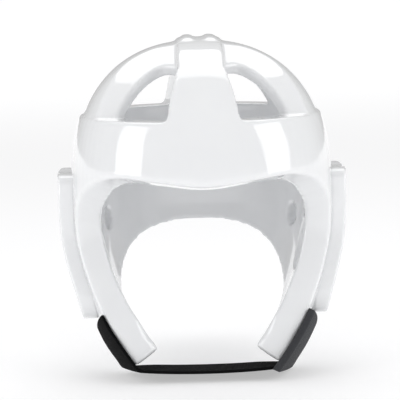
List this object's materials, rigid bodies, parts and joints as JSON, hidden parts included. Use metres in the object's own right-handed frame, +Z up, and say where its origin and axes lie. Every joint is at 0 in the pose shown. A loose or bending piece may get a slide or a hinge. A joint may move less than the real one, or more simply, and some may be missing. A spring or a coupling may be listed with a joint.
{
  "type": "taekwondo headgear",
  "caption": "Dipped foam head guard with an open face, a vented crown, thick ear guards with ear openings, jaw arms, and a webbing chin strap.",
  "frame": {"origin": "the highest point of the hollow, where the shell sits on the crown of the head", "axes": "+Z up, the wearer faces -Y, and the wearer's left side is +X"},
  "size_m": [0.2248, 0.2378, 0.2579],
  "materials": {
    "dipped_foam": "glossy white dipped vinyl skin over foam",
    "webbing": "matt black woven strap",
    "napped_fastener": "dark grey napped loop pile"
  },
  "bodies": {
    "root": {"shell": "dipped_foam", "ear_guard_left": "dipped_foam", "ear_guard_right": "dipped_foam", "chin_strap": "webbing", "fastening_tab": "napped_fastener"}
  },
  "joints": []
}
